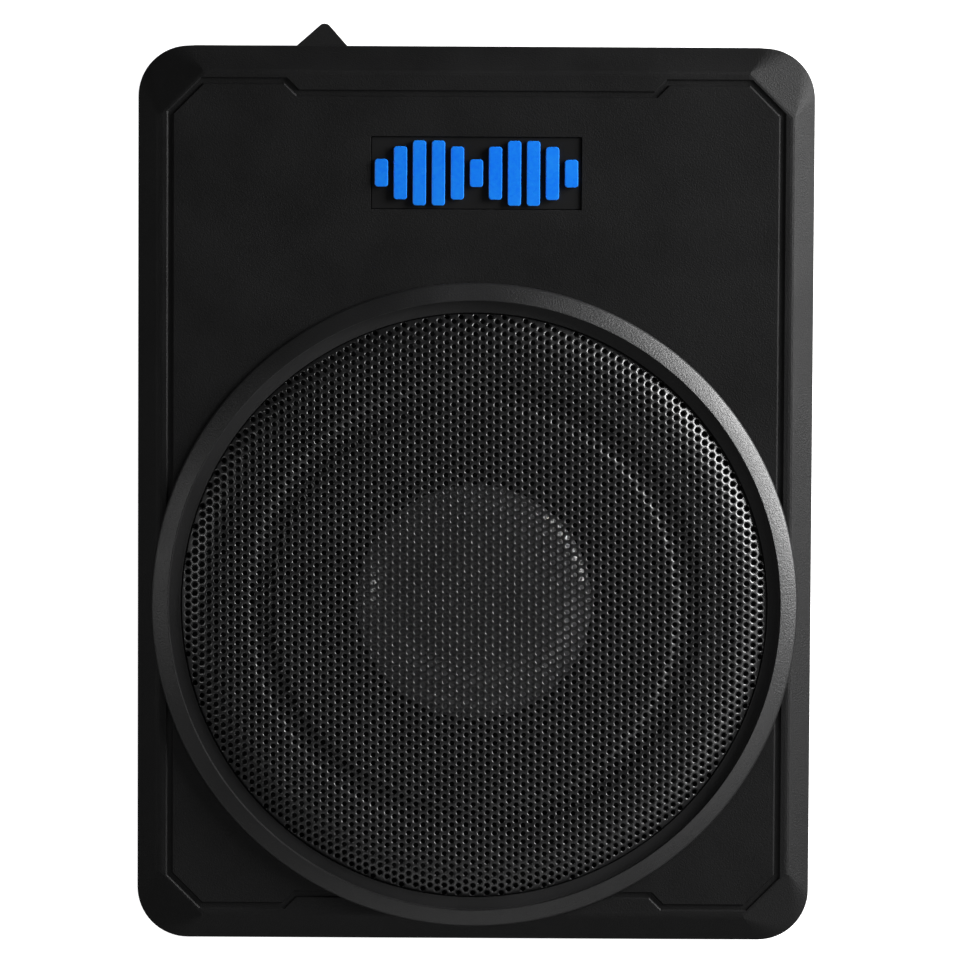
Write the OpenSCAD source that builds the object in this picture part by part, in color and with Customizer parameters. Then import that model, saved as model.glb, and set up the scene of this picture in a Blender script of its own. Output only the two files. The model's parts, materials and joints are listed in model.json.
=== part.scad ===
// Powered under-seat subwoofer, lying on its feet with the grille facing up.
// Sizes are in millimetres. +Z is up and +Y points to the end that holds the controls.
// The origin is on the floor, under the middle of the whole outline's box.

/* [Enclosure] */
// Width of the enclosure, side to side
body_w = 260; // [260:1:276]
// Length of the enclosure, end to end
body_l = 345; // [345:1:370]
// Radius of the four corners, seen from above
corner_r = 19.5; // [17:0.5:20.5]
// Thickness of the side walls
wall_t = 4; // [4:0.25:5]
// Height of the cast base tray
base_h = 28.5; // [28.5:0.5:34]
// Height of the top cover, from the seal to its flat panel
cover_h = 31; // [31:0.5:34]
// Thickness of the seal between tray and cover
seal_t = 1; // [0.8:0.1:1.5]
// Width of the sloping border along the sides of the flat panel
bevel_w = 8.2; // [7.4:0.2:9]
// Height that the sloping border drops through
bevel_drop = 7; // [5:0.5:7.5]

/* [Front panel] */
// Width of the decorative groove
groove_w = 2.7; // [2.2:0.1:3.2]
// Depth of the decorative groove
groove_d = 0.7; // [0.5:0.1:1.4]
// Width of the badge recess
badge_w = 81; // [70:1:90]
// Length of the badge recess
badge_l = 28; // [24:1:32]
// Number of bars in the emblem
bar_count = 11; // [7:2:13]

/* [Driver] */
// Outer radius of the trim ring around the grille
ring_r = 124.5; // [123.5:0.5:124.5]
// Distance from the enclosure's near end to the driver's axis
driver_inset = 130.2; // [129:0.2:131]
// Height of the grille's crown above the flat panel
grille_h = 8; // [7:0.5:10]
// Radius of the dust cap
cap_r = 45.5; // [42:0.5:47]
// Radius of the magnet
magnet_r = 52; // [46:1:56]

/* [Controls] */
// Depth of the recess that holds the control panel
recess_d = 18.5; // [18.5:0.5:22]
// Radius of the control knobs
knob_r = 6.5; // [5.5:0.25:7]
// Outer radius of the phono jacks' shells
phono_r = 4.15; // [4.1:0.05:4.2]

/* [Mounting] */
// Height of the rubber feet
foot_h = 7; // [7:0.5:9]
// Radius of the rubber feet
foot_r = 11; // [9:0.5:11]
// Width of the swivelling mounting tabs
tab_w = 20; // [16:1:20]
// Distance from a tab's pivot to its far end
tab_l = 45; // [42:1:48]
// Thickness of a tab
tab_t = 2; // [1.5:0.1:2.2]
// Angle that the first tab is swung out to, from along the end to straight out
tab_turn = 41.5; // [0:0.5:90]
// Radius of the bolt hole in a tab
tab_hole_r = 2.75; // [2.25:0.25:3.25]

/* [Hidden] */
$fn = 96;
eps = 0.01;
hull_facets = 64;

// Heights
base_z = foot_h;
tray_floor_t = 3;
tray_z = base_z + tray_floor_t;
seal_z = base_z + base_h;
cover_z = seal_z + seal_t;
panel_z = cover_z + cover_h;
bevel_z = panel_z - bevel_drop;
roof_t = 3.5;
roof_z = panel_z - roof_t;

// Outline
half_w = body_w / 2;
half_l = body_l / 2;
plateau_chamfer = 16;
bevel_end_extra = 1.2;
bevel_blend_r = 4;
bevel_blend_turns = [0, 13, 26, 39];
bevel_blend_in = bevel_blend_r * tan(20);
inner_wall_y = half_l - recess_d - 5.5;
inner_wall_t = 3;
recess_y = inner_wall_y + inner_wall_t;
recess_half_w = 106;
recess_roof_z = cover_z + 17;
window_half_w = 98;
window_low_z = tray_z + 4;
window_top_z = recess_roof_z - 4;

// Groove wall, and the badge in its recess
groove_slope = 0.5;
badge_y = half_l - 48.3;
badge_floor_z = panel_z - 1.2;
badge_gap = 0.3;
badge_t = 0.6;

// Tab pivots, feet and enclosure screws, measured from the enclosure's middle
pivot_x = 86.8;
pivot_y = half_l - 27.5;
foot_x = half_w - 21;
foot_y = half_l - 22;
boss_x = half_w - 10.5;
boss_r = 6;
shell_screw_xy = [
    [half_w - 10, half_l - 10], [boss_x, half_l - 54], [boss_x, half_l - 127],
    [boss_x, -half_l + driver_inset], [boss_x, -half_l + 44], [50, -half_l + 9]
];

// Tab corner rounding, and how far the first tab stands past the enclosure
tab_corner_r = 2.75;
tab_gap = 0.4;
tab_z = base_z - tab_gap - tab_t;
tab_tip_y = pivot_y + (tab_l - tab_corner_r) * sin(tab_turn)
    + (tab_w / 2 - tab_corner_r) * cos(tab_turn) + tab_corner_r;
tab_reach = max(0, tab_tip_y - half_l);
body_y = -tab_reach / 2;

// Driver radii, and heights measured down from the flat panel
driver_y = -half_l + driver_inset;
ring_h = 4.6;
ring_band_r = ring_r - 6.7;
band_drop = 3.2;
ring_floor_r = ring_r - 6.8;
ring_floor_z = panel_z + 1.6;
ring_edge = 0.8;
ring_mouth_r = ring_r - 11.5;
seat_r = ring_r - 8.3;
well_r = ring_r - 12.5;
hole_r = ring_r - 25;
seat_z = panel_z - 3.5;
grille_flange_z = seat_z + 1.7;
grille_rim_z = panel_z + 1;
ledge_z = panel_z - 11;
ledge_t = 3.5;
tube_r = ring_r - 5;
sheet_t = 0.8;
flange_z = ledge_z + sheet_t;
flange_r = ring_r - 13.5;
flange_t = 2;
rim_r = ring_r - 28;
cone_r = ring_r - 40;
cone_edge_z = flange_z + flange_t;
neck_r = 26;
neck_z = cone_edge_z - 13.8;
cone_t = 1.2;
coil_r = 25.1;
former_t = 0.4;
plate_z = ledge_z - 28.5;
plate_t = 5;
magnet_h = 11;
yoke_t = 5;
screw_count = 8;
driver_screw_r = ring_r - 19;
ring_screw_r = ring_r - 4;
ring_head_z = roof_z + 0.4;
ring_bore_z = panel_z + 1.6;

// Control panel rows and columns
sheet_y = recess_y;
face_y = sheet_y + 2.5;
row_z = tray_z + 15;
upper_z = tray_z + 33;
knob_x = [-42, -62, -82];
power_x = 80;
high_level_x = 46;
phono_x = [20, 4];
remote_x = -16;
switch_x = [-42, -82];
light_x = 46;
board_z = tray_z + 6;
board_t = 1.6;
board_top = board_z + board_t;
nub_offset = 1.5;

// ---------- shared shapes ----------

module ring(r_out, r_in, h) {
    difference() {
        cylinder(r = r_out, h = h);
        translate([0, 0, -1]) cylinder(r = r_in, h = h + 2);
    }
}

module both_sides() {
    children();
    mirror([1, 0, 0]) children();
}

module four_corners(x, y) {
    for (sx = [-1, 1], sy = [-1, 1]) translate([sx * x, sy * y, 0]) children();
}

module around(count, r, start) {
    for (i = [0 : count - 1]) rotate([0, 0, start + i * 360 / count])
        translate([r, 0, 0]) children();
}

module at_driver(z) {
    translate([0, driver_y, z]) children();
}

// A bar along +Y that starts on the plane y, centred on x and z
module block_y(x, z, w, h, y0, y1) {
    translate([x - w / 2, y0, z - h / 2]) cube([w, y1 - y0, h]);
}

// A round bar along +Y
module round_y(x, z, r, y0, y1) {
    translate([x, y0, z]) rotate([-90, 0, 0]) cylinder(r = r, h = y1 - y0);
}

function unit(v) = v / norm(v);

// Cuts each corner of a path twice, which leaves a soft curve
function cut_corners(p) = concat(
    [p[0]],
    [for (i = [0 : len(p) - 2]) each [0.75 * p[i] + 0.25 * p[i + 1], 0.25 * p[i] + 0.75 * p[i + 1]]],
    [p[len(p) - 1]]
);

// A round wire of radius r, swept along a path that nowhere runs along X
module wire_run(corners, r) {
    sides = 10;
    path = cut_corners(cut_corners(corners));
    last = len(path) - 1;
    points = [
        for (i = [0 : last])
            let (
                ahead = unit(path[min(last, i + 1)] - path[min(last - 1, i)]),
                behind = unit(path[max(1, i)] - path[max(0, i - 1)]),
                along = unit(ahead + behind),
                side = unit(cross([1, 0, 0], along)),
                up = cross(along, side)
            )
            for (k = [0 : sides - 1])
                path[i] + r * (cos(360 * k / sides) * side + sin(360 * k / sides) * up)
    ];
    faces = [
        for (i = [0 : last - 1], k = [0 : sides - 1])
            let (a = i * sides + k, b = i * sides + (k + 1) % sides)
            [a, a + sides, b + sides, b]
    ];
    start_cap = [for (k = [0 : sides - 1]) k];
    end_cap = [for (k = [sides - 1 : -1 : 0]) last * sides + k];
    polyhedron(points, concat(faces, [start_cap, end_cap]));
}

module screw(head_r, head_h, shank_r, length) {
    difference() {
        union() {
            cylinder(r = head_r, h = head_h);
            cylinder(r = shank_r, h = length);
        }
        translate([0, 0, -eps]) cylinder(r = head_r * 0.5, h = head_h * 0.6, $fn = 6);
    }
}

module rounded_square(w, l, r) {
    square([w - 2 * r, l], center = true);
    square([w, l - 2 * r], center = true);
    for (sx = [-1, 1], sy = [-1, 1])
        translate([sx * (w / 2 - r), sy * (l / 2 - r)]) circle(r = r);
}

module outline(inset) {
    rounded_square(body_w - 2 * inset, body_l - 2 * inset, corner_r - inset);
}

// The flat panel's edge, with its cut corners
module plateau_outline() {
    x = half_w - bevel_w - bevel_blend_in;
    y = half_l - bevel_w - bevel_end_extra - bevel_blend_in;
    c = plateau_chamfer;
    polygon([
        [x - c, y], [x, y - c], [x, c - y], [x - c, -y],
        [c - x, -y], [-x, c - y], [-x, y - c], [c - x, y]
    ]);
}

// One quarter of the decorative line, moved inwards by d
function groove_quarter(d) =
    let (
        x = half_w - 11.3,
        y = half_l - 12,
        step = 4.6,
        step_x = 68.1,
        corner = 13,
        shift = d * tan(22.5)
    ) [
        [step_x + shift, y - step - d], [step_x + step + shift, y - d],
        [x - corner - shift, y - d], [x - d, y - corner - shift]
    ];

// The whole decorative line, turning clockwise as seen from above
function groove_line(d) =
    let (q = groove_quarter(d), back = [for (i = [len(q) - 1 : -1 : 0]) q[i]]) concat(
        q,
        [for (p = back) [p.x, -p.y]],
        [for (p = q) [-p.x, -p.y]],
        [for (p = back) [-p.x, p.y]]
    );

// Cuts the decorative line: a flat floor between two sloping walls
module groove_cut() {
    over = 2;
    flare = groove_slope * over / groove_d;
    // How far in and how high each edge of the cut runs
    edges = [
        [-flare, over], [groove_slope, -groove_d],
        [groove_w - groove_slope, -groove_d], [groove_w + flare, over]
    ];
    points = [for (e = edges) each [for (p = groove_line(e[0])) [p.x, p.y, panel_z + e[1]]]];
    count = len(groove_line(0));
    faces = [
        for (e = [0 : 3], i = [0 : count - 1])
            let (a = e * count, b = (e + 1) % 4 * count, n = (i + 1) % count)
            [a + n, a + i, b + i, b + n]
    ];
    polyhedron(points, faces);
}

// The space inside the enclosure, seen from above
module cavity(inset) {
    difference() {
        outline(inset);
        translate([-half_w, inner_wall_y]) square([body_w, half_l]);
    }
}

module boss_places() {
    both_sides() for (p = shell_screw_xy) translate(p) children();
}

module recess_cut(z0, z1) {
    translate([-recess_half_w, recess_y, z0])
        cube([2 * recess_half_w, half_l, z1 - z0]);
}

module window_cut(z0, z1) {
    translate([-window_half_w, inner_wall_y - 1, z0])
        cube([2 * window_half_w, inner_wall_t + 2, z1 - z0]);
}

// The outside of the cover before anything is cut
module cover_block() {
    hull() {
        translate([0, 0, cover_z]) linear_extrude(bevel_z - cover_z)
            rounded_square(body_w, body_l, corner_r, $fn = hull_facets);
        for (turn = bevel_blend_turns)
            translate([0, 0, bevel_z])
                linear_extrude(bevel_drop - bevel_blend_r * (1 - cos(turn)))
                offset(delta = bevel_blend_r * sin(turn)) plateau_outline();
    }
}

// ---------- enclosure ----------

module top_shell() {
    color([0.11, 0.11, 0.12]) difference() {
        union() {
            difference() {
                cover_block();
                translate([0, 0, cover_z - 1])
                    linear_extrude(bevel_z - 1.5 - cover_z + 1) cavity(wall_t);
                translate([0, 0, bevel_z - 2])
                    linear_extrude(roof_z - bevel_z + 2) cavity(bevel_w + 3.8);
            }
            at_driver(ledge_z - ledge_t) cylinder(r = tube_r, h = seat_z - ledge_z + ledge_t);
            translate([0, 0, cover_z]) linear_extrude(bevel_z - 1 - cover_z)
                intersection() {
                    outline(1);
                    boss_places() circle(r = boss_r);
                }
        }
        recess_cut(cover_z - 1, recess_roof_z);
        window_cut(cover_z - 1, window_top_z);
        at_driver(seat_z) cylinder(r = seat_r, h = ring_h + 10);
        at_driver(ledge_z) cylinder(r = well_r, h = 20);
        at_driver(cover_z) cylinder(r = hole_r, h = 30);
        difference() {
            groove_cut();
            at_driver(bevel_z) cylinder(r = ring_r - 1.5, h = 20);
        }
        translate([-badge_w / 2, badge_y - badge_l / 2, badge_floor_z])
            cube([badge_w, badge_l, 5]);
        boss_places() translate([0, 0, cover_z - 1]) cylinder(r = 2.1, h = 14);
        at_driver(0) around(screw_count, driver_screw_r, 0)
            translate([0, 0, ledge_z - ledge_t - 1]) cylinder(r = 1.7, h = ledge_t + 2);
        at_driver(0) around(screw_count, ring_screw_r, 22.5) {
            translate([0, 0, ledge_z - ledge_t - 1])
                cylinder(r = 3.2, h = ring_head_z - ledge_z + ledge_t + 1);
            translate([0, 0, roof_z - 1]) cylinder(r = 1.8, h = roof_t + 3);
        }
        panel_screw_places() round_y(0, 0, 1.6, inner_wall_y - 1, recess_y + 1);
    }
}

fin_count = 33;
fin_pitch = 7.5;
fin_w = 3;
fin_d = 2;
rib_count = 7;
rib_pitch = 24;

module base_shell() {
    color([0.12, 0.12, 0.13]) difference() {
        union() {
            difference() {
                translate([0, 0, base_z]) linear_extrude(base_h) outline(0);
                translate([0, 0, tray_z]) linear_extrude(base_h) cavity(wall_t);
            }
            translate([0, 0, base_z + 1]) linear_extrude(base_h - 1) intersection() {
                outline(1);
                boss_places() circle(r = boss_r);
            }
            translate([0, 0, base_z + 1]) {
                four_corners(pivot_x, pivot_y) cylinder(r = 6, h = tray_floor_t + 4.5);
                four_corners(foot_x, foot_y) cylinder(r = 5, h = tray_floor_t + 5);
                board_screw_places() cylinder(r = 3.5, h = tray_floor_t + 5);
            }
        }
        recess_cut(tray_z, seal_z + 1);
        window_cut(window_low_z, seal_z + 1);
        for (i = [0 : fin_count - 1], s = [-1, 1])
            translate([
                s * half_w - fin_d, (i - (fin_count - 1) / 2) * fin_pitch - fin_w / 2, base_z + 4
            ]) cube([2 * fin_d, fin_w, base_h - 7.5]);
        for (i = [0 : rib_count - 1])
            translate([-70, (i - (rib_count - 1) / 2) * rib_pitch - 2, base_z - 1])
                cube([140, 4, 2]);
        boss_places() {
            translate([0, 0, base_z - 1]) cylinder(r = 2.3, h = base_h + 2);
            translate([0, 0, base_z - 1]) cylinder(r = 4, h = 4);
        }
        four_corners(pivot_x, pivot_y) translate([0, 0, base_z - 1])
            cylinder(r = 2.6, h = 9.2);
        four_corners(foot_x, foot_y) translate([0, 0, base_z - 1]) cylinder(r = 1.85, h = 9);
        board_screw_places() translate([0, 0, board_z - 5]) cylinder(r = 1.55, h = 6);
        panel_screw_places() round_y(0, 0, 1.6, inner_wall_y - 1, recess_y + 1);
    }
}

module shell_gasket() {
    color([0.05, 0.05, 0.05]) translate([0, 0, seal_z]) difference() {
        union() {
            linear_extrude(seal_t) difference() {
                outline(0.5);
                cavity(wall_t - 0.5);
            }
            linear_extrude(seal_t) intersection() {
                outline(1);
                boss_places() circle(r = boss_r);
            }
        }
        recess_cut(-1, seal_t + 1);
        window_cut(-1, seal_t + 1);
        boss_places() translate([0, 0, -1]) cylinder(r = 2.3, h = seal_t + 2);
    }
}

module shell_screws() {
    color([0.3, 0.3, 0.32]) boss_places()
        translate([0, 0, base_z + 0.3]) screw(3.7, 2.4, 2, cover_z + 11 - base_z);
}

foot_head_z = 2.2;

module rubber_feet() {
    color([0.07, 0.07, 0.07]) four_corners(foot_x, foot_y) rotate_extrude() polygon([
        [4, 0], [foot_r - 1, 0], [foot_r, 1], [foot_r, foot_h], [1.9, foot_h],
        [1.9, foot_head_z + 2], [4, foot_head_z + 2]
    ]);
}

module foot_screws() {
    color([0.45, 0.45, 0.47]) four_corners(foot_x, foot_y)
        translate([0, 0, foot_head_z]) screw(3.4, 2, 1.8, base_z + 7 - foot_head_z);
}

// ---------- badge ----------

module badge_plate() {
    color([0.08, 0.08, 0.09])
        translate([-badge_w / 2 + badge_gap, badge_y - badge_l / 2 + badge_gap, badge_floor_z])
            cube([badge_w - 2 * badge_gap, badge_l - 2 * badge_gap, badge_t]);
}

// Height of bar i: two humps, tallest midway between the middle and each end
function bar_height(i) =
    let (u = abs(2 * i / (bar_count - 1) - 1)) badge_l * (0.38 + 0.53 * sin(180 * u) ^ 0.8);

module badge_emblem() {
    span = badge_w - 3;
    pitch = span / (bar_count - 0.3);
    color([0.05, 0.42, 1]) for (i = [0 : bar_count - 1])
        translate([
            -span / 2 + (i + 0.35) * pitch, badge_y, badge_floor_z + badge_t
        ]) linear_extrude(1.4)
            rounded_square(0.7 * pitch, bar_height(i), 1.2);
}

// ---------- ring and grille ----------

module trim_ring() {
    top = panel_z + ring_h;
    color([0.14, 0.14, 0.15]) difference() {
        at_driver(0) rotate_extrude() polygon([
            [ring_mouth_r, grille_flange_z], [ring_mouth_r, ring_floor_z],
            [ring_floor_r, ring_floor_z], [ring_band_r, top],
            [ring_r - ring_edge, top - band_drop], [ring_r, top - band_drop - ring_edge],
            [ring_r, bevel_z], [seat_r + 0.8, bevel_z],
            [seat_r + 0.8, panel_z], [seat_r - 0.2, panel_z],
            [seat_r - 0.2, grille_flange_z]
        ]);
        cover_block();
        at_driver(0) around(screw_count, ring_screw_r, 22.5)
            translate([0, 0, bevel_z]) cylinder(r = 1.45, h = ring_bore_z - bevel_z);
    }
}

module ring_screws() {
    color([0.45, 0.45, 0.47]) at_driver(0) around(screw_count, ring_screw_r, 22.5)
        translate([0, 0, ring_head_z - 2])
            screw(2.8, 2, 1.4, ring_bore_z - 0.1 - ring_head_z + 2);
}

// The grille's outer face: a shallow crown, a pressed valley and a rim that curves down.
// At the ring's mouth the sheet drops straight down to its flange.
rim_w = 18;
grille_rim_r = ring_mouth_r - 0.4;
grille_turn_r = grille_rim_r - rim_w;
valley_in_r = 76.3;
valley_in_w = 3.4;
valley_out_r = 84;
valley_out_w = 4.8;
valley_depth = 0.9;
crown_fall = 1.2;
rim_fall = panel_z + grille_h - grille_rim_z - crown_fall * (grille_rim_r / 100) ^ 2;
function smooth(u) = let (t = min(1, max(0, u))) t * t * (3 - 2 * t);
function grille_top(r) =
    panel_z + grille_h - crown_fall * (r / 100) ^ 2
    - valley_depth * (smooth((r - valley_in_r) / valley_in_w) - smooth((r - valley_out_r) / valley_out_w))
    - rim_fall * max(0, (r - grille_turn_r) / rim_w) ^ 2.4;

module grille() {
    wall_steps = 4;
    rim_steps = 8;
    radii = concat(
        [for (i = [0 : wall_steps]) i * valley_in_r / wall_steps],
        [for (i = [1 : wall_steps]) valley_in_r + i * valley_in_w / wall_steps],
        [for (i = [0 : wall_steps]) valley_out_r + i * valley_out_w / wall_steps],
        [for (i = [0 : rim_steps]) grille_turn_r + i * rim_w / rim_steps]
    );
    outer = [for (r = radii) [r, grille_top(r)]];
    wall_r = grille_rim_r - sheet_t;
    flange = [
        [grille_rim_r, grille_flange_z], [seat_r - 0.5, grille_flange_z],
        [seat_r - 0.5, grille_flange_z - sheet_t], [wall_r, grille_flange_z - sheet_t],
        [wall_r, grille_top(wall_r) - sheet_t]
    ];
    back = [for (i = [len(outer) - 2 : -1 : 0]) outer[i] - [0, sheet_t]];
    color([0.16, 0.16, 0.17]) at_driver(0) rotate_extrude() polygon(concat(outer, flange, back));
}

module grille_cushion() {
    color([0.04, 0.04, 0.04]) at_driver(seat_z)
        ring(seat_r - 0.6, well_r + 0.2, grille_flange_z - sheet_t - seat_z);
}

// ---------- driver ----------

shelf_z = plate_z + 10;
shelf_r = 62;
arm_low_r = 66;
arm_high_r = ring_r - 35;

module basket() {
    wall = 2;
    color([0.2, 0.2, 0.21]) at_driver(0) difference() {
        rotate_extrude() polygon([
            [flange_r, flange_z], [flange_r, cone_edge_z], [rim_r, cone_edge_z],
            [shelf_r, shelf_z + wall], [48, shelf_z + wall], [48, plate_z + plate_t + wall],
            [31, plate_z + plate_t + wall], [31, plate_z + plate_t],
            [50, plate_z + plate_t], [50, shelf_z], [shelf_r, shelf_z], [rim_r, flange_z]
        ]);
        for (i = [0 : 5]) rotate([0, 0, 30 + 60 * i]) intersection() {
            translate([0, 0, shelf_z - 1]) ring(arm_high_r, arm_low_r, 30);
            translate([0, -22, shelf_z - 2]) cube([arm_high_r + 5, 44, 32]);
        }
        around(screw_count, driver_screw_r, 0) translate([0, 0, flange_z - 1])
            cylinder(r = 2.2, h = flange_t + 2);
    }
}

module driver_gasket() {
    color([0.05, 0.05, 0.05]) at_driver(ledge_z) difference() {
        ring(flange_r, hole_r + 1, sheet_t);
        around(screw_count, driver_screw_r, 0) translate([0, 0, -1]) cylinder(r = 2.2, h = 4);
    }
}

module driver_screws() {
    color([0.4, 0.4, 0.42]) at_driver(0) around(screw_count, driver_screw_r, 0)
        translate([0, 0, cone_edge_z + 2]) mirror([0, 0, 1])
            screw(3.4, 2, 1.6, 2 + flange_t + sheet_t + ledge_t);
}

roll_out_r = rim_r;
roll_in_r = cone_r;
roll_mid_r = (roll_out_r + roll_in_r) / 2;
roll_r = (roll_out_r - roll_in_r) / 2;
roll_t = 0.9;

// One half-roll of rubber between a flat inner and a flat outer rim
module surround() {
    steps = 12;
    arc = function (r) [
        for (i = [0 : steps])
            [roll_mid_r + r * cos(180 * i / steps), cone_edge_z + roll_t + r * 0.8 * sin(180 * i / steps)]
    ];
    top_arc = arc(roll_r);
    low_arc = arc(roll_r - roll_t);
    color([0.09, 0.09, 0.09]) at_driver(0) rotate_extrude() polygon(concat(
        [[driver_screw_r - 4, cone_edge_z], [driver_screw_r - 4, cone_edge_z + roll_t]],
        top_arc,
        [[roll_in_r - 5, cone_edge_z + roll_t], [roll_in_r - 5, cone_edge_z],
            [roll_in_r + roll_t, cone_edge_z]],
        [for (i = [steps : -1 : 0]) low_arc[i]],
        [[roll_out_r - roll_t, cone_edge_z]]
    ));
}

module cone() {
    color([0.13, 0.13, 0.14]) at_driver(0) rotate_extrude() polygon([
        [neck_r, neck_z], [neck_r, neck_z - cone_t], [cone_r - 6, cone_edge_z - cone_t],
        [cone_r - 0.3, cone_edge_z - cone_t], [cone_r - 0.3, cone_edge_z],
        [cone_r - 6, cone_edge_z]
    ]);
}

function cone_top(r) = neck_z + (cone_edge_z - neck_z) * (r - neck_r) / (cone_r - 6 - neck_r);

module dust_cap() {
    cap_h = 9;
    steps = 10;
    foot_z = cone_top(cap_r);
    dome = function (r, h) [
        for (i = [0 : steps]) [r * sin(90 * i / steps), foot_z + h * cos(90 * i / steps)]
    ];
    inner = dome(cap_r - 1, cap_h - 1);
    color([0.3, 0.3, 0.31]) at_driver(0) difference() {
        rotate_extrude() polygon(concat(
            dome(cap_r, cap_h),
            [for (i = [steps : -1 : 0]) inner[i]]
        ));
        rotate_extrude() polygon([
            [0, neck_z - 9], [neck_r, neck_z], [cone_r - 6, cone_edge_z], [cone_r - 6, neck_z - 9]
        ]);
    }
}

spider_z = shelf_z + 2;
spider_r = 57;

// A corrugated disc that centres the coil
module spider() {
    waves = 5;
    steps = 40;
    wave_h = 1.3;
    rise = 0.9;
    start_r = coil_r + former_t + 0.1;
    top = [for (i = [0 : steps]) let (u = i / steps) [
        start_r + (spider_r - start_r) * u,
        spider_z + rise + 1.6 + (u > 0.82 ? -rise - 0.9 : wave_h * sin(360 * waves * u / 0.82) - 0.2)
    ]];
    color([0.75, 0.6, 0.3]) at_driver(0) rotate_extrude() polygon(concat(
        top,
        [for (i = [steps : -1 : 0]) top[i] - [0, 0.7]]
    ));
}

module voice_coil_former() {
    color([0.8, 0.65, 0.4]) at_driver(plate_z - 3)
        ring(coil_r + former_t, coil_r, neck_z - plate_z + 3.2);
}

module voice_coil() {
    color([0.75, 0.4, 0.2]) at_driver(plate_z - 3)
        ring(coil_r + former_t + 1.3, coil_r + former_t, 11);
}

module top_plate() {
    color([0.5, 0.5, 0.52]) at_driver(plate_z) ring(magnet_r - 1, coil_r + 2.5, plate_t);
}

module magnet() {
    color([0.2, 0.2, 0.22]) at_driver(plate_z - magnet_h) ring(magnet_r, coil_r + 4, magnet_h);
}

module t_yoke() {
    color([0.5, 0.5, 0.52]) at_driver(plate_z - magnet_h - yoke_t) difference() {
        union() {
            cylinder(r = magnet_r - 2, h = yoke_t);
            cylinder(r = coil_r - 0.5, h = yoke_t + magnet_h + plate_t);
        }
        translate([0, 0, -1]) cylinder(r = 8, h = 40);
    }
}

strip_r = ring_r - 33.5;

module terminal_strip() {
    color([0.4, 0.28, 0.15]) at_driver(0) difference() {
        translate([-11, strip_r, shelf_z + 1]) cube([22, 2.5, 15.5]);
        rotate_extrude() polygon([
            [shelf_r, shelf_z], [rim_r, flange_z], [rim_r, cone_edge_z + 5], [shelf_r, cone_edge_z + 5]
        ]);
    }
}

module tinsel_leads() {
    lead_r = 0.7;
    color([0.8, 0.5, 0.25]) at_driver(0) both_sides() wire_run([
        [7, strip_r - 0.2, shelf_z + 6], [7, strip_r - 10, shelf_z + 5],
        [7, 70, shelf_z + 7], [7, 60, cone_top(60) - cone_t - 1.2]
    ], lead_r);
}

// ---------- amplifier ----------

board_half_w = 96;
board_l = 56;
board_y = inner_wall_y - 4 - board_l;
bar_y = board_y - 10;
transistor_x = [-75 : 30 : 75];
capacitor_x = [-30, -8, 14];
capacitor_y = board_y + 28;

module board_screw_places() {
    for (x = [-90, 90], y = [board_y + 7, board_y + 42]) translate([x, y, 0]) children();
}

module amp_board() {
    color([0.1, 0.32, 0.16]) difference() {
        translate([-board_half_w, board_y, board_z]) cube([2 * board_half_w, board_l, board_t]);
        board_screw_places() translate([0, 0, board_z - 1]) cylinder(r = 1.7, h = 4);
    }
}

module board_screws() {
    color([0.6, 0.6, 0.62]) board_screw_places() translate([0, 0, board_top + 1.8])
        mirror([0, 0, 1]) screw(2.8, 1.8, 1.5, 8);
}

module heatsink_bar() {
    color([0.65, 0.65, 0.67]) difference() {
        translate([-90, bar_y, tray_z]) cube([180, 8, 24]);
        for (x = [-84 : 12 : 84]) translate([x - 2.5, bar_y - 1, tray_z + 4])
            cube([5, 4, 21]);
    }
}

module power_transistors() {
    color([0.1, 0.1, 0.1]) for (x = transistor_x) {
        translate([x - 5, bar_y + 8, board_top + 2]) cube([10, 4.5, 15]);
        for (k = [-1, 0, 1]) translate([x + 2.5 * k - 0.5, bar_y + 10.6, board_top])
            cube([1, 1, 2.5]);
    }
}

module filter_capacitors() {
    color([0.1, 0.12, 0.3]) for (x = capacitor_x)
        translate([x, capacitor_y, board_top]) cylinder(r = 9, h = 30);
}

toroid_at = [58, board_y + 28, board_top];

module toroid_core() {
    color([0.3, 0.3, 0.25]) translate(toroid_at + [0, 0, 2.5]) ring(17, 9, 10);
}

module toroid_winding() {
    color([0.8, 0.4, 0.15]) translate(toroid_at) difference() {
        ring(19.5, 6.5, 15);
        translate([0, 0, 2.5]) ring(17, 9, 10);
    }
}

lead_gap = 4;

module driver_leads() {
    color([0.6, 0.1, 0.1]) for (s = [-1, 1]) wire_run([
        [s * lead_gap, driver_y + strip_r + 2.6, shelf_z + 6],
        [s * lead_gap, driver_y + strip_r + 12, shelf_z + 4],
        [s * lead_gap * 1.5, bar_y + 2, board_top + 21],
        [s * lead_gap * 1.5, board_y + 8, board_top + 18],
        [s * lead_gap * 1.5, board_y + 11, board_top + 10],
        [s * lead_gap * 1.5, board_y + 11, board_top]
    ], 1.2);
}

// ---------- control panel ----------

module panel_screw_places() {
    for (x = [-102, 102], z = [tray_z + 8, recess_roof_z - 6]) translate([x, 0, z]) children();
}

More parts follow.
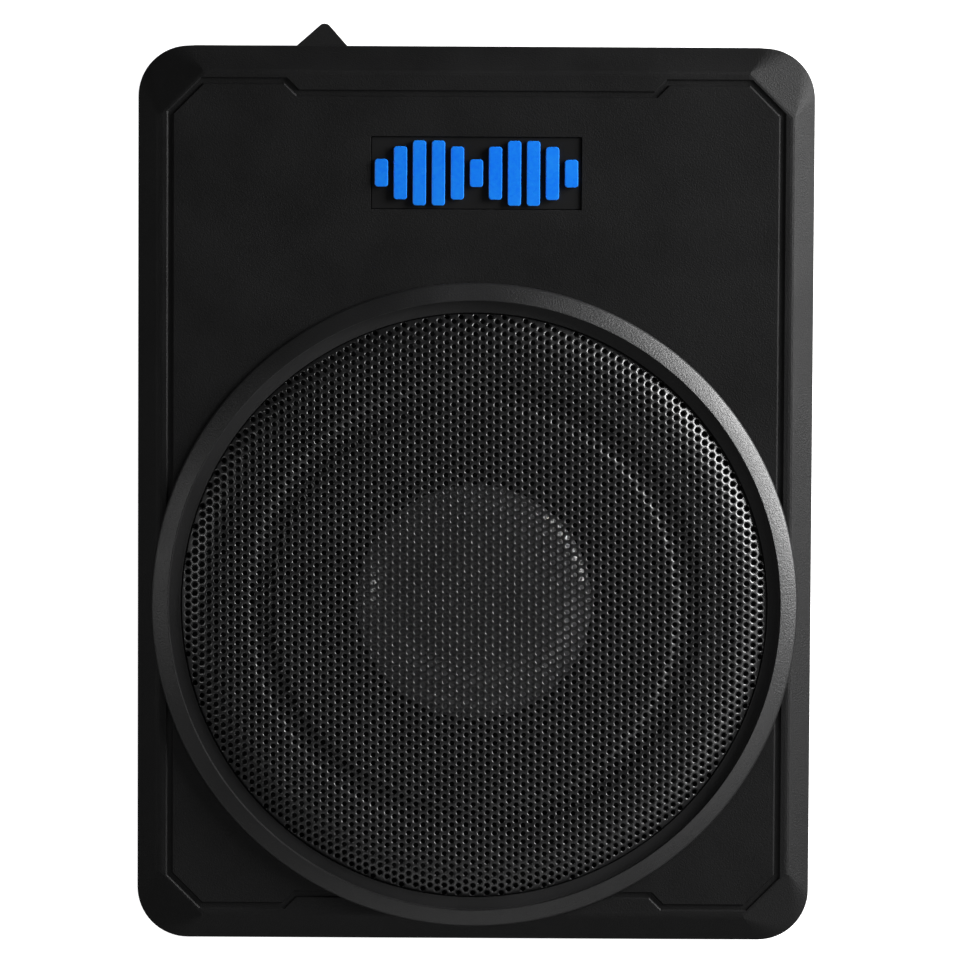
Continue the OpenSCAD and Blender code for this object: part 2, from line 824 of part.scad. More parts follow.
module control_panel() {
    color([0.1, 0.1, 0.1]) difference() {
        translate([-recess_half_w + 0.5, sheet_y, tray_z + 0.5])
            cube([2 * recess_half_w - 1, face_y - sheet_y, recess_roof_z - tray_z - 1]);
        for (x = knob_x) round_y(x, row_z, 4.8, sheet_y - 1, face_y + 1);
        for (x = switch_x) block_y(x, upper_z, 8, 3.6, sheet_y - 1, face_y + 1);
        for (x = phono_x) round_y(x, row_z, 5.2, sheet_y - 1, face_y + 1);
        block_y(power_x, row_z, 26.4, 14.4, sheet_y - 1, face_y + 1);
        block_y(high_level_x, row_z, 20.4, 13.4, sheet_y - 1, face_y + 1);
        block_y(power_x, upper_z, 24.4, 10.4, sheet_y - 1, face_y + 1);
        block_y(remote_x, row_z, 15.4, 13.4, sheet_y - 1, face_y + 1);
        round_y(light_x, upper_z, 2.6, sheet_y - 1, face_y + 1);
        panel_screw_places() round_y(0, 0, 1.8, sheet_y - 1, face_y + 1);
    }
}

module panel_screws() {
    color([0.35, 0.35, 0.36]) panel_screw_places()
        translate([0, face_y + 1.8, 0]) rotate([90, 0, 0]) screw(3, 1.8, 1.5, 6.8);
}

module control_pots() {
    color([0.15, 0.15, 0.17]) for (x = knob_x) difference() {
        union() {
            block_y(x, row_z, 12, 12, sheet_y - 9, sheet_y);
            round_y(x, row_z, 4.6, sheet_y - 1, face_y + 0.7);
        }
        round_y(x, row_z, 3.05, sheet_y - 6, face_y + 5);
    }
}

// A knob with grip notches, a pointer slot and its own shaft
module knob(x) {
    notches = 18;
    low = face_y + 1;
    high = face_y + 10.5;
    difference() {
        union() {
            round_y(x, row_z, knob_r, low, high);
            round_y(x, row_z, 3, sheet_y - 5.5, low + 1);
        }
        for (i = [0 : notches - 1]) translate([x, low + 2, row_z])
            rotate([0, 10 + i * 360 / notches, 0]) translate([knob_r + 0.25, 0, 0])
                rotate([-90, 0, 0]) cylinder(r = 0.7, h = 20, $fn = 24);
        translate([x - 0.5, high - 0.8, row_z + 1]) cube([1, 2, knob_r]);
    }
}

module gain_knob() { color([0.1, 0.1, 0.1]) knob(knob_x[0]); }

module lowpass_knob() { color([0.1, 0.1, 0.1]) knob(knob_x[1]); }

module boost_knob() { color([0.1, 0.1, 0.1]) knob(knob_x[2]); }

module slide_switches() {
    color([0.55, 0.55, 0.57]) for (x = switch_x) difference() {
        block_y(x, upper_z, 14, 7, sheet_y - 7, sheet_y);
        block_y(x, upper_z, 7, 3.4, sheet_y - 5, sheet_y + 1);
    }
}

module slider(x) {
    block_y(x - nub_offset, upper_z, 3.2, 2.6, sheet_y - 4.6, face_y + 2.2);
}

module phase_slider() { color([0.85, 0.85, 0.85]) slider(switch_x[0]); }

module input_slider() { color([0.85, 0.85, 0.85]) slider(switch_x[1]); }

module phono_shells() {
    color([0.85, 0.72, 0.4]) for (x = phono_x) difference() {
        union() {
            round_y(x, row_z, 6, face_y, face_y + 1.5);
            round_y(x, row_z, phono_r, face_y, face_y + 10);
        }
        round_y(x, row_z, 3.4, face_y - 1, face_y + 11);
    }
}

module phono_inserts() {
    color([0.8, 0.1, 0.1]) for (x = phono_x) difference() {
        union() {
            round_y(x, row_z, 3.4, sheet_y - 2, face_y + 7);
            round_y(x, row_z, 5, sheet_y - 2, face_y);
            block_y(x, row_z, 13, 14, sheet_y - 12, sheet_y);
        }
        round_y(x, row_z, 1.6, sheet_y - 4, face_y + 8);
    }
}

// A socket: a box through the panel with a rim outside and a cavity for the plug
module socket(x, z, w, h, margin, back) {
    difference() {
        union() {
            block_y(x, z, w, h, back, face_y);
            block_y(x, z, w + 4, h + 3, face_y, face_y + 2.2);
        }
        block_y(x, z, w - 2 * margin, h - 2 * margin, back + 2, face_y + 5);
    }
}

module high_level_socket() {
    color([0.85, 0.85, 0.8]) socket(high_level_x, row_z, 20, 13, 1.5, face_y - 13);
}

module power_socket() {
    color([0.12, 0.12, 0.12]) socket(power_x, row_z, 26, 14, 2, face_y - 14);
}

module socket_pins() {
    color([0.85, 0.7, 0.35]) {
        for (i = [0 : 3]) block_y(high_level_x + (i - 1.5) * 4, row_z, 1, 1, face_y - 11, face_y - 4);
        for (i = [-1 : 1]) block_y(power_x + i * 7, row_z, 0.8, 5, face_y - 12, face_y - 4);
    }
}

module fuse_holder() {
    color([0.1, 0.1, 0.1]) difference() {
        union() {
            block_y(power_x, upper_z, 24, 10, face_y - 17, face_y);
            block_y(power_x, upper_z, 28, 13, face_y, face_y + 2.2);
        }
        block_y(power_x, upper_z, 20, 6, face_y - 7, face_y + 5);
        for (s = [-1, 1]) block_y(power_x + s * 6.2, upper_z, 6.2, 1.5, face_y - 15, face_y);
    }
}

module fuse_cap() {
    color([0.95, 0.75, 0.1]) difference() {
        block_y(power_x, upper_z, 19, 5.2, face_y - 6, face_y + 6);
        for (s = [-1, 1]) block_y(power_x, upper_z + s * 3, 10, 2, face_y + 1, face_y + 4);
    }
}

module fuse_blades() {
    color([0.75, 0.75, 0.77]) for (s = [-1, 1])
        block_y(power_x + s * 6.2, upper_z, 5.2, 0.7, face_y - 13.5, face_y - 6);
}

module remote_port() {
    color([0.08, 0.08, 0.08]) difference() {
        block_y(remote_x, row_z, 15, 13, face_y - 15, face_y + 0.8);
        block_y(remote_x, row_z, 11.6, 7, face_y - 12, face_y + 2);
        block_y(remote_x, row_z - 4, 6, 3, face_y - 12, face_y + 2);
    }
}

module power_light() {
    color([0.2, 0.45, 1]) {
        round_y(light_x, upper_z, 2.5, sheet_y - 4, face_y + 0.8);
        translate([light_x, face_y + 0.8, upper_z]) intersection() {
            sphere(r = 2.5);
            translate([-5, 0, -5]) cube(10);
        }
    }
}

// ---------- mounting tabs ----------

// A flat steel tab that points along +X from its pivot
module tab_blade() {
    straight = tab_l - tab_corner_r;
    half = tab_w / 2;
    translate([0, 0, tab_z]) difference() {
        linear_extrude(tab_t) {
            circle(r = half);
            translate([0, -half]) square([straight, tab_w]);
            translate([0, tab_corner_r - half]) square([tab_l, tab_w - 2 * tab_corner_r]);
            for (s = [-1, 1]) translate([straight, s * (half - tab_corner_r)])
                circle(r = tab_corner_r);
        }
        translate([0, 0, -1]) cylinder(r = 3, h = tab_t + 2);
        translate([tab_l - 8, 0, -1]) cylinder(r = tab_hole_r, h = tab_t + 2);
    }
}

module tab(sx, sy, turn) {
    color([0.1, 0.1, 0.1]) translate([sx * pivot_x, sy * pivot_y, 0])
        rotate([0, 0, turn]) tab_blade();
}

module mounting_tab_1() { tab(-1, 1, tab_turn); }

module mounting_tab_2() { tab(1, 1, 180); }

module mounting_tab_3() { tab(-1, -1, 0); }

module mounting_tab_4() { tab(1, -1, 180); }

module tab_pivots() {
    color([0.4, 0.4, 0.42]) four_corners(pivot_x, pivot_y) translate([0, 0, tab_z - 2.3]) {
        screw(4.6, 2, 2.5, 12.6);
        translate([0, 0, 1.5]) cylinder(r = 2.95, h = tab_t + 1.1);
    }
}

// ---------- assembly ----------

module placed() {
    translate([0, body_y, 0]) children();
}

placed() top_shell();
placed() base_shell();
placed() shell_gasket();
placed() shell_screws();
placed() rubber_feet();
placed() foot_screws();
placed() badge_plate();
placed() badge_emblem();
placed() trim_ring();
placed() ring_screws();
placed() grille();
placed() grille_cushion();
placed() basket();
placed() driver_gasket();
placed() driver_screws();
placed() surround();
placed() cone();
placed() dust_cap();
placed() spider();
placed() voice_coil_former();
placed() voice_coil();
placed() top_plate();
placed() magnet();
placed() t_yoke();
placed() tinsel_leads();
placed() terminal_strip();
placed() control_panel();
placed() panel_screws();
placed() amp_board();
placed() board_screws();
placed() heatsink_bar();
placed() power_transistors();
placed() filter_capacitors();
placed() toroid_core();
placed() toroid_winding();
placed() control_pots();
placed() gain_knob();
placed() lowpass_knob();
placed() boost_knob();
placed() slide_switches();
placed() phase_slider();
placed() input_slider();
placed() phono_shells();
placed() phono_inserts();
placed() high_level_socket();
placed() power_socket();
placed() socket_pins();
placed() fuse_holder();
placed() fuse_cap();
placed() fuse_blades();
placed() remote_port();
placed() power_light();
placed() driver_leads();
placed() mounting_tab_1();
placed() mounting_tab_2();
placed() mounting_tab_3();
placed() mounting_tab_4();
placed() tab_pivots();
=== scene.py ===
"""Looks of a slim powered car subwoofer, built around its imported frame. Lengths are in metres."""

import json
import math
from contextlib import contextmanager

import bmesh
import bpy
import numpy as np
from mathutils import Matrix, Vector


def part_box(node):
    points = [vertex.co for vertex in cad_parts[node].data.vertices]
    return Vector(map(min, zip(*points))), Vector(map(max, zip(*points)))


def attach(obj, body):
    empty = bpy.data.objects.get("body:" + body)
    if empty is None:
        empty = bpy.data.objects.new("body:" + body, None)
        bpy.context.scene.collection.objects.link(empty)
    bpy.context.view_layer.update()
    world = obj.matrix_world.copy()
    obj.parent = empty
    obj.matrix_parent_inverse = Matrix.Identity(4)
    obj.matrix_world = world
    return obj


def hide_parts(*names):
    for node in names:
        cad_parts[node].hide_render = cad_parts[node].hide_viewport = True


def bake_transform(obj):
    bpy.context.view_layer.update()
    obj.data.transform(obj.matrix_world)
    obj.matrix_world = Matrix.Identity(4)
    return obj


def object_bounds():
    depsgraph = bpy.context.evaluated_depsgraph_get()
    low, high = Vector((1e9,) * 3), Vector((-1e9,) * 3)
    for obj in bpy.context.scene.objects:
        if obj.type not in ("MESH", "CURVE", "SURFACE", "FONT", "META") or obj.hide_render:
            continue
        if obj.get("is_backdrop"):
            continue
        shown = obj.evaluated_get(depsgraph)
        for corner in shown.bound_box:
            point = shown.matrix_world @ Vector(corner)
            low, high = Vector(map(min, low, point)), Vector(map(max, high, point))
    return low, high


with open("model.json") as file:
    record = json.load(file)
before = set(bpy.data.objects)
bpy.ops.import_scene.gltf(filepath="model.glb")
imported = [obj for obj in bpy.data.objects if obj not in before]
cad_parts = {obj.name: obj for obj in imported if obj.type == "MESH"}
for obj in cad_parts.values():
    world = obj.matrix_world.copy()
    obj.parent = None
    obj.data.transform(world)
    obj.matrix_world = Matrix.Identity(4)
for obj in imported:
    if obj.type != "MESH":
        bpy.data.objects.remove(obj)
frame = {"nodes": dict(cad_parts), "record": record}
cad_low, cad_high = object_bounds()
nodes = frame["nodes"]
scene = bpy.context.scene
scene.view_settings.view_transform = "Standard"
MM = 0.001

# ---------- places taken from the frame ----------

cap_low, cap_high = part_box("dust_cap")
axis = (cap_low + cap_high) / 2
axis.z = 0
panel_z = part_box("top_shell")[1].z
ring_low, ring_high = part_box("trim_ring")
ring_r = (ring_high.x - ring_low.x) / 2
crown_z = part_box("grille")[1].z
edge_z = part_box("cone")[1].z
spider_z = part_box("spider")[0].z
face_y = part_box("control_panel")[1].y

# ---------- finishes ----------


def add(tree, kind, values=None, **settings):
    """A new node, with settings on the node and values on its inputs."""
    node = tree.nodes.new(kind)
    for key, value in settings.items():
        setattr(node, key, value)
    for key, value in (values or {}).items():
        node.inputs[key].default_value = value
    return node


def finish(name, dark, light, rough=(0.5, 0.6), grain=1500, broad=40, bump=0.3, depth=0.05,
           metal=0.0, specular=0.5, coat=0.0, coat_rough=0.05, stretch=(1, 1, 1), weave=0):
    """Two tones mottled by fine and broad noise, with varied roughness and a fine bump.
    depth is the bump's height in mm, and weave the thread count per metre of a cloth."""
    material = bpy.data.materials.new(name)
    material.use_nodes = True
    tree = material.node_tree
    link = tree.links.new
    shader = tree.nodes["Principled BSDF"]
    place = add(tree, "ShaderNodeTexCoord")
    scaled = add(tree, "ShaderNodeMapping", {"Scale": stretch})
    fine = add(tree, "ShaderNodeTexNoise", {"Scale": grain, "Detail": 3.0, "Roughness": 0.6})
    wide = add(tree, "ShaderNodeTexNoise", {"Scale": broad, "Detail": 4.0, "Roughness": 0.55})
    link(place.outputs["Object"], scaled.inputs["Vector"])
    for noise in (fine, wide):
        link(scaled.outputs["Vector"], noise.inputs["Vector"])
    height = fine.outputs["Fac"]
    if weave:
        waves = [
            add(tree, "ShaderNodeTexWave", {"Scale": weave, "Distortion": 0.4},
                bands_direction=direction)
            for direction in ("X", "Y")
        ]
        crossed = add(tree, "ShaderNodeMath", operation="MAXIMUM")
        for wave, socket in zip(waves, crossed.inputs):
            link(place.outputs["Object"], wave.inputs["Vector"])
            link(wave.outputs["Fac"], socket)
        height = crossed.outputs["Value"]
    mottle = add(tree, "ShaderNodeMath", operation="ADD", use_clamp=True)
    half = add(tree, "ShaderNodeMapRange", {"From Min": 0.25, "From Max": 0.75, "To Max": 0.6})
    rest = add(tree, "ShaderNodeMapRange", {"From Min": 0.3, "From Max": 0.7, "To Max": 0.4})
    link(height, half.inputs["Value"])
    link(wide.outputs["Fac"], rest.inputs["Value"])
    link(half.outputs["Result"], mottle.inputs[0])
    link(rest.outputs["Result"], mottle.inputs[1])
    tones = add(tree, "ShaderNodeValToRGB")
    tones.color_ramp.elements[0].color = (*dark, 1)
    tones.color_ramp.elements[1].color = (*light, 1)
    link(mottle.outputs["Value"], tones.inputs["Fac"])
    link(tones.outputs["Color"], shader.inputs["Base Color"])
    shine = add(tree, "ShaderNodeMapRange",
                {"From Min": 0.3, "From Max": 0.7, "To Min": rough[0], "To Max": rough[1]})
    link(wide.outputs["Fac"], shine.inputs["Value"])
    link(shine.outputs["Result"], shader.inputs["Roughness"])
    relief = add(tree, "ShaderNodeBump", {"Strength": bump, "Distance": depth * MM})
    link(height, relief.inputs["Height"])
    link(relief.outputs["Normal"], shader.inputs["Normal"])
    shader.inputs["Metallic"].default_value = metal
    shader.inputs["Specular IOR Level"].default_value = specular
    shader.inputs["Coat Weight"].default_value = coat
    shader.inputs["Coat Roughness"].default_value = coat_rough
    return material


def grey(value):
    return (value, value, value * 1.04)


FINISHES = {
    "powder_coat": dict(dark=grey(0.002), light=grey(0.006), rough=(0.52, 0.6), grain=1700,
                        bump=1.0, depth=0.16, specular=0.25),
    "cast_base": dict(dark=grey(0.003), light=grey(0.009), rough=(0.58, 0.7), grain=900,
                      bump=0.6, depth=0.16, specular=0.3),
    "satin_trim": dict(dark=grey(0.005), light=grey(0.012), rough=(0.40, 0.46), grain=1500,
                       bump=1.0, depth=0.14, specular=0.68),
    "grille_steel": dict(dark=grey(0.008), light=grey(0.016), rough=(0.27, 0.33), grain=1500,
                         bump=0.15, depth=0.03, specular=0.7),
    "seal_rubber": dict(dark=grey(0.006), light=grey(0.014), rough=(0.75, 0.85), grain=900,
                        specular=0.3),
    "foot_rubber": dict(dark=grey(0.010), light=grey(0.022), rough=(0.75, 0.88), grain=700,
                        bump=0.5, depth=0.1, specular=0.35),
    "screw_steel": dict(dark=grey(0.34), light=grey(0.50), rough=(0.28, 0.42), grain=1800,
                        metal=1.0, bump=0.1),
    "black_screw": dict(dark=grey(0.020), light=grey(0.045), rough=(0.35, 0.5), grain=1800,
                        metal=0.6),
    "black_plastic": dict(dark=grey(0.009), light=grey(0.020), rough=(0.42, 0.55), grain=2200,
                          bump=0.4, depth=0.05),
    "ring_floor": dict(dark=grey(0.006), light=grey(0.011), rough=(0.48, 0.56), grain=1500,
                       bump=0.8, depth=0.1, specular=0.4),
    "dull_black": dict(dark=grey(0.002), light=grey(0.004), rough=(0.55, 0.65), grain=1600,
                       bump=0.3, depth=0.05, specular=0.25),
    "emblem_blue": dict(dark=(0.004, 0.17, 1.0), light=(0.012, 0.29, 1.0), rough=(0.22, 0.32),
                        grain=600, broad=60, bump=0.08, depth=0.03, coat=0.6),
    "cone_paper": dict(dark=grey(0.008), light=grey(0.022), rough=(0.75, 0.9), grain=700,
                       broad=120, bump=0.6, depth=0.15, specular=0.3),
    "cap_gloss": dict(dark=grey(0.30), light=grey(0.42), rough=(0.16, 0.24), grain=260,
                      broad=70, bump=0.3, depth=0.05, specular=1.0, coat=1.0),
    "spider_cloth": dict(dark=(0.34, 0.20, 0.05), light=(0.62, 0.44, 0.17), rough=(0.8, 0.9),
                         weave=700, bump=0.7, depth=0.2),
    "former_film": dict(dark=(0.40, 0.21, 0.04), light=(0.60, 0.36, 0.09), rough=(0.2, 0.35),
                        coat=0.4),
    "copper_wire": dict(dark=(0.42, 0.15, 0.06), light=(0.78, 0.36, 0.16), rough=(0.25, 0.4),
                        metal=1.0, grain=500, stretch=(0.2, 0.2, 8), bump=0.6, depth=0.2),
    "motor_steel": dict(dark=grey(0.06), light=grey(0.11), rough=(0.35, 0.5), metal=0.8),
    "ferrite": dict(dark=grey(0.035), light=grey(0.07), rough=(0.6, 0.8), grain=500,
                    bump=0.5, depth=0.1),
    "basket_steel": dict(dark=grey(0.015), light=grey(0.03), rough=(0.4, 0.55), grain=900),
    "tinsel": dict(dark=(0.40, 0.17, 0.07), light=(0.80, 0.45, 0.22), rough=(0.3, 0.45),
                   metal=1.0, weave=1500, bump=0.8, depth=0.15),
    "phenolic": dict(dark=(0.10, 0.045, 0.015), light=(0.20, 0.10, 0.04), rough=(0.4, 0.55),
                     stretch=(1, 1, 6)),
    "board_green": dict(dark=(0.008, 0.075, 0.022), light=(0.02, 0.16, 0.055),
                        rough=(0.25, 0.4), grain=420, coat=0.3),
    "bar_alloy": dict(dark=grey(0.45), light=grey(0.64), rough=(0.28, 0.42), metal=1.0,
                      grain=500, stretch=(0.1, 6, 6), bump=0.2),
    "chip_black": dict(dark=grey(0.012), light=grey(0.024), rough=(0.5, 0.65)),
    "can_sleeve": dict(dark=(0.008, 0.010, 0.05), light=(0.02, 0.026, 0.10), rough=(0.2, 0.3),
                       coat=0.4),
    "wire_red": dict(dark=(0.24, 0.006, 0.006), light=(0.42, 0.02, 0.015), rough=(0.4, 0.55)),
    "plated_gold": dict(dark=(0.62, 0.40, 0.12), light=(0.86, 0.64, 0.28), rough=(0.16, 0.28),
                        metal=1.0, bump=0.08),
    "insert_plastic": dict(dark=(0.42, 0.006, 0.008), light=(0.62, 0.02, 0.02),
                           rough=(0.28, 0.4)),
    "socket_white": dict(dark=(0.54, 0.52, 0.46), light=(0.70, 0.68, 0.61), rough=(0.4, 0.55)),
    "switch_metal": dict(dark=grey(0.42), light=grey(0.58), rough=(0.25, 0.4), metal=1.0),
    "slider_grey": dict(dark=grey(0.48), light=grey(0.62), rough=(0.45, 0.6)),
    "fuse_plastic": dict(dark=(0.70, 0.42, 0.01), light=(0.88, 0.60, 0.03), rough=(0.18, 0.3),
                         coat=0.5),
    "light_lens": dict(dark=(0.02, 0.16, 0.75), light=(0.10, 0.36, 0.95), rough=(0.08, 0.16),
                       coat=0.8),
    "white_print": dict(dark=grey(0.62), light=grey(0.78), rough=(0.5, 0.65)),
    "insert_white": dict(dark=grey(0.66), light=grey(0.80), rough=(0.28, 0.4)),
}
finishes = {name: finish(name, **values) for name, values in FINISHES.items()}

# Each CAD node has the finish that its slot in the record names, but the badge plate is duller
node_slot = {part["node"]: part["material_slot"] for part in frame["record"]["subparts"]}
for node, slot_name in node_slot.items():
    for slot in nodes[node].material_slots:
        slot.material = finishes[slot_name]
for slot in nodes["badge_plate"].material_slots:
    slot.material = finishes["dull_black"]

# ---------- shared shapes ----------


def piece(name, points, faces, slot_name, body="enclosure", replaced=(), material=None,
          smooth=True):
    """A new mesh piece that rides on a body, or on none."""
    mesh = bpy.data.meshes.new(name)
    mesh.from_pydata([tuple(p) for p in points], [], [tuple(f) for f in faces])
    mesh.validate()
    mesh.polygons.foreach_set("use_smooth", [smooth] * len(mesh.polygons))
    mesh.materials.append(finishes[material or slot_name])
    obj = bpy.data.objects.new(name, mesh)
    scene.collection.objects.link(obj)
    if replaced:
        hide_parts(*replaced)
    if body:
        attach(obj, body)
    return obj


def lathe(profile, centre, segments=160, along_y=False, wave=None):
    """Points and faces of a closed profile of (radius, height) turned about Z, or about Y.
    wave, if given, maps (radius, height, angle) to an added height."""
    points, rings = [], []
    for r, h in profile:
        steps = segments if r > 1e-7 else 1
        ring = []
        for k in range(steps):
            a = 2 * math.pi * k / segments
            lift = h + (wave(r, h, a) if wave else 0)
            x, y = r * math.cos(a), r * math.sin(a)
            ring.append(len(points))
            offset = (x, lift, y) if along_y else (x, y, lift)
            points.append(Vector(centre) + Vector(offset))
        rings.append(ring)
    faces = []
    for i, low in enumerate(rings):
        high = rings[(i + 1) % len(rings)]
        for k in range(segments):
            quad = [low[k % len(low)], low[(k + 1) % len(low)],
                    high[(k + 1) % len(high)], high[k % len(high)]]
            if along_y:
                quad.reverse()
            corners = list(dict.fromkeys(quad))
            if len(corners) > 2:
                faces.append(corners)
    return points, faces


def mm(profile):
    return [(r * MM, h * MM) for r, h in profile]


@contextmanager
def edited(obj):
    """Opens a piece's mesh for editing and writes it back."""
    work = bmesh.new()
    work.from_mesh(obj.data)
    yield work
    work.to_mesh(obj.data)
    work.free()


def mark_corners(work, sharp):
    """Marks the edges of more than sharp degrees, so that the shading stays crisp there."""
    for edge in work.edges:
        if len(edge.link_faces) == 2 and edge.calc_face_angle(0) > math.radians(sharp):
            edge.smooth = False


def sharpen(faces):
    """Marks all edges of some faces as corners."""
    for face in faces:
        for edge in face.edges:
            edge.smooth = False


def rounded(obj, sharp=50):
    """Marks a whole piece's corners."""
    with edited(obj) as work:
        mark_corners(work, sharp)


def soften(node, width, angle=30, merge=True):
    """Rounds a CAD node's hard edges by width mm. merge joins its flat facets first."""
    obj = nodes[node]
    weld = obj.modifiers.new("weld", "WELD")
    weld.merge_threshold = 1e-6
    if merge:
        flat = obj.modifiers.new("flat", "DECIMATE")
        flat.decimate_type = "DISSOLVE"
        flat.angle_limit = math.radians(0.4)
    edge = obj.modifiers.new("edge", "BEVEL")
    edge.width = width * MM
    edge.segments = 2
    edge.limit_method = "ANGLE"
    edge.angle_limit = math.radians(angle)
    edge.miter_outer = "MITER_ARC"
    shade = obj.modifiers.new("shade", "WEIGHTED_NORMAL")
    shade.keep_sharp = True
    shade.weight = 80


SOFTENED = {
    "top_shell": 0.45, "base_shell": 0.5, "badge_emblem": 0.25, "badge_plate": 0.1,
    "control_panel": 0.2, "mounting_tab_1": 0.3, "mounting_tab_2": 0.3, "mounting_tab_3": 0.3,
    "mounting_tab_4": 0.3, "rubber_feet": 0.5, "gain_knob": 0.2, "lowpass_knob": 0.2,
    "boost_knob": 0.2, "phase_slider": 0.15, "input_slider": 0.15, "fuse_cap": 0.25,
    "fuse_holder": 0.3, "high_level_socket": 0.25, "power_socket": 0.3, "remote_port": 0.2,
    "phono_shells": 0.15, "panel_screws": 0.12, "shell_screws": 0.15, "tab_pivots": 0.2,
    "heatsink_bar": 0.3, "power_transistors": 0.2,
}
MANY_SLOTS = ("base_shell", "fuse_holder")
for node, width in SOFTENED.items():
    soften(node, width, angle=45 if node == "top_shell" else 30, merge=node not in MANY_SLOTS)

# ---------- grille ----------

GRILLE_EDGE = ring_r - 11.9 * MM
FLANGE_R = ring_r - 8.8 * MM
FLANGE_Z = panel_z - 1.8 * MM
RIM_Z = panel_z + 1 * MM
SHEET = 0.8 * MM
PITCH = 3.18 * MM
HOLE_R = 0.93 * MM
LIP_R = 1.27 * MM
LIP_DROP = 0.34 * MM
RIM_W = 18 * MM
RIM_POWER = 2.4
HOLES_END = GRILLE_EDGE - 0.7 * MM
RINGS_END = GRILLE_EDGE - 0.06 * MM
CELL_OVERLAP = 0.05 * MM
MIDDLE_STRIP = 0.265
VALLEY_IN, VALLEY_IN_W = 76.3 * MM, 3.4 * MM
VALLEY_OUT, VALLEY_OUT_W = 84 * MM, 4.8 * MM
VALLEY_DEPTH = 0.9 * MM
CROWN_FALL, CROWN_FALL_R = 1.2 * MM, 100 * MM
rim_fall = crown_z - RIM_Z - CROWN_FALL * (GRILLE_EDGE / CROWN_FALL_R) ** 2


def smooth(u):
    t = min(1, max(0, u))
    return t * t * (3 - 2 * t)


def grille_top(r):
    """Height of the grille's outer face: a shallow crown, a pressed valley and a falling rim."""
    valley = smooth((r - VALLEY_IN) / VALLEY_IN_W) - smooth((r - VALLEY_OUT) / VALLEY_OUT_W)
    rim = max(0, (r - GRILLE_EDGE + RIM_W) / RIM_W)
    return (crown_z - CROWN_FALL * (r / CROWN_FALL_R) ** 2 - VALLEY_DEPTH * valley
            - rim_fall * rim ** RIM_POWER)


# A cell's corners and edge middles, in sixths of a column and quarters of the pitch
HEXAGON = [(4, 0), (3, 1), (2, 2), (0, 2), (-2, 2), (-3, 1),
           (-4, 0), (-3, -1), (-2, -2), (0, -2), (2, -2), (3, -1)]
COLUMN = PITCH * math.cos(math.radians(30))


class Sheet:
    """One upright strip of the perforated grille, closed on every side."""

    def __init__(self):
        self.points, self.faces, self.walls, self.found = [], [], [], {}

    def point(self, x, y, drop, limit=GRILLE_EDGE, key=None):
        if key is not None and key in self.found:
            return self.found[key]
        r = math.hypot(x, y)
        if r > limit:
            x, y, r = x * limit / r, y * limit / r, limit
        self.points.append((axis.x + x, axis.y + y, grille_top(r) - drop))
        if key is not None:
            self.found[key] = len(self.points) - 1
        return len(self.points) - 1

    def corner(self, u, v, drop):
        return self.point(u * COLUMN / 6, v * PITCH / 4, drop, key=(u, v, drop))

    def ring(self, x, y, r, drop):
        return [
            self.point(x + r * math.cos(math.radians(30 * k)),
                       y + r * math.sin(math.radians(30 * k)), drop, RINGS_END)
            for k in range(12)
        ]

    def band(self, outer, inner):
        for k in range(12):
            n = (k + 1) % 12
            self.faces.append((outer[k], outer[n], inner[n], inner[k]))

    def cell(self, i, j):
        u, v = 6 * i, 4 * j + 2 * (i % 2)
        x, y = u * COLUMN / 6, v * PITCH / 4
        top = [self.corner(u + a, v + b, 0) for a, b in HEXAGON]
        under = [self.corner(u + a, v + b, SHEET) for a, b in HEXAGON]
        if math.hypot(x, y) < HOLES_END:
            lip = self.ring(x, y, LIP_R, 0)
            throat = self.ring(x, y, HOLE_R, LIP_DROP)
            low = self.ring(x, y, HOLE_R, SHEET)
            for outer, inner in ((top, lip), (lip, throat), (throat, low), (low, under)):
                self.band(outer, inner)
            return
        middle, low_middle = self.point(x, y, 0), self.point(x, y, SHEET)
        for k in range(12):
            n = (k + 1) % 12
            self.faces.append((top[k], top[n], middle))
            self.faces.append((under[n], under[k], low_middle))

    def close(self):
        """Adds the rim's drop and flange, and a wall where the next strip begins."""
        below = {}
        for (u, v, drop), index in self.found.items():
            if drop == 0:
                below[index] = self.found[(u, v, SHEET)]
        edges = set()
        for face in self.faces:
            for a, b in zip(face, face[1:] + face[:1]):
                if a in below and b in below:
                    edges.add((a, b))
        # The flange's corners from the rim's outer edge round to the underside
        path = [(GRILLE_EDGE, FLANGE_Z), (FLANGE_R, FLANGE_Z), (FLANGE_R, FLANGE_Z - SHEET),
                (GRILLE_EDGE - SHEET, FLANGE_Z - SHEET)]
        flange = {}

        def corners(index):
            if index not in flange:
                x, y, _ = self.points[index]
                way = Vector((x - axis.x, y - axis.y, 0)).normalized()
                flange[index] = []
                for r, z in path:
                    flange[index].append(len(self.points))
                    self.points.append((axis.x + way.x * r, axis.y + way.y * r, z))
            return flange[index]

        for a, b in sorted(edges):
            if (b, a) in edges:
                continue
            low_a, low_b = below[a], below[b]
            radii = [math.hypot(self.points[i][0] - axis.x, self.points[i][1] - axis.y)
                     for i in (a, b)]
            if min(radii) < GRILLE_EDGE - 1e-6:
                self.walls.append(len(self.faces))
                self.faces.append((b, a, low_a, low_b))
                continue
            round_a, round_b = ([i, *corners(i), low] for i, low in ((a, low_a), (b, low_b)))
            for k in range(len(round_a) - 1):
                self.faces.append((round_b[k], round_a[k], round_a[k + 1], round_b[k + 1]))


def flat_map(obj):
    """Lays the texture map out as seen from above."""
    layer = obj.data.uv_layers.new(name="OFBake")
    low, size = cad_low, cad_high - cad_low
    index = np.empty(len(obj.data.loops), int)
    obj.data.loops.foreach_get("vertex_index", index)
    spots = np.array([v.co for v in obj.data.vertices])[index]
    flat = np.stack([(spots[:, 0] - low.x) / size.x, (spots[:, 1] - low.y) / size.y], 1)
    layer.data.foreach_set("uv", flat.ravel())


